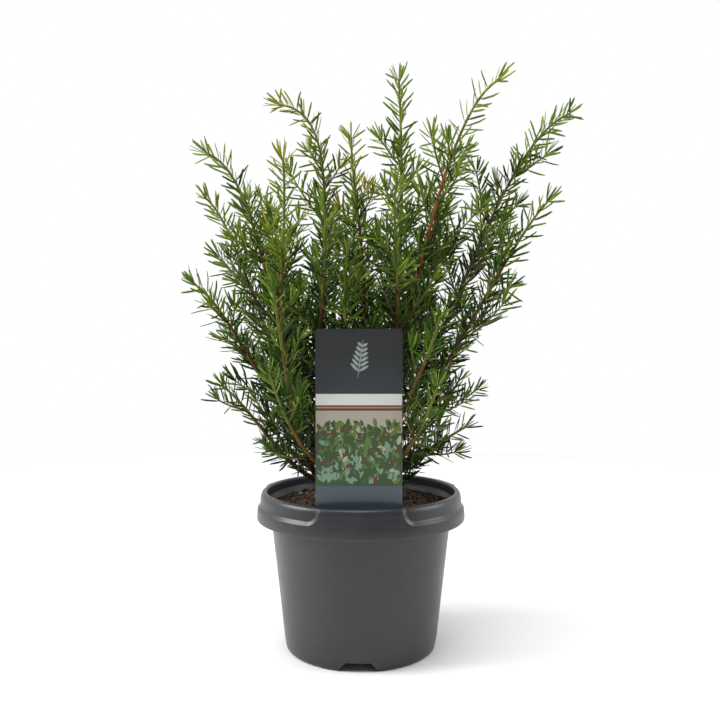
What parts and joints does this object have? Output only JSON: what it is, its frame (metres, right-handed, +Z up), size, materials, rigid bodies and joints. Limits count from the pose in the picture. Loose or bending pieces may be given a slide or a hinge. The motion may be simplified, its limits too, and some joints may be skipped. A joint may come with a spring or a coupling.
{
  "type": "potted yew shrub",
  "caption": "Young hybrid yew: upright evergreen shrub with flat dark green needles and some yellow shoot tips, in a round tapered nursery pot filled with peat, with a stick-in label.",
  "frame": {"origin": "centre of the pot's flat underside, on the surface the pot stands on", "axes": "+Z up along the pot's axis; -Y towards the side that carries the label; +X to the right as seen from the label's side"},
  "size_m": [0.3374, 0.2876, 0.48],
  "materials": {
    "pot": "satin",
    "soil": "rough",
    "label": "satin",
    "bark": "rough",
    "needles": "satin",
    "tip_needles": "satin"
  },
  "bodies": {
    "root": {"back_centre": "needles", "back_centre_bough": "bark", "back_foot": "needles", "back_left": "needles", "back_left_bough": "bark", "back_low": "needles", "back_low_bough": "bark", "back_low_left": "needles", "back_low_left_bough": "bark", "back_low_right": "needles", "back_low_right_bough": "bark", "back_right": "needles", "back_right_bough": "bark", "front_centre": "needles", "front_centre_bough": "bark", "front_label": "needles", "front_label_bough": "bark", "front_left": "needles", "front_left_bough": "bark", "front_low_left": "needles", "front_low_right": "needles", "front_right": "needles", "front_right_bough": "bark", "front_upright": "needles", "front_upright_bough": "bark", "label": "label", "left_arch": "needles", "left_arch_bough": "bark", "left_high": "needles", "left_high_bough": "bark", "left_inner": "needles", "left_low": "needles", "left_low_bough": "bark", "left_mid": "needles", "left_mid_bough": "bark", "pot": "pot", "right_arch": "needles", "right_arch_bough": "bark", "right_foot": "needles", "right_high": "needles", "right_high_bough": "bark", "right_low": "needles", "right_low_bough": "bark", "right_skirt": "needles", "right_twig": "needles", "right_twig_bough": "bark", "soil": "soil", "top_centre": "needles", "top_centre_bough": "bark", "top_left": "tip_needles", "top_left_bough": "bark", "top_right": "tip_needles", "top_right_bough": "bark", "trunk": "bark", "upright_left": "tip_needles", "upright_left_bough": "bark", "yellow_centre": "tip_needles", "yellow_centre_bough": "bark"}
  },
  "joints": []
}
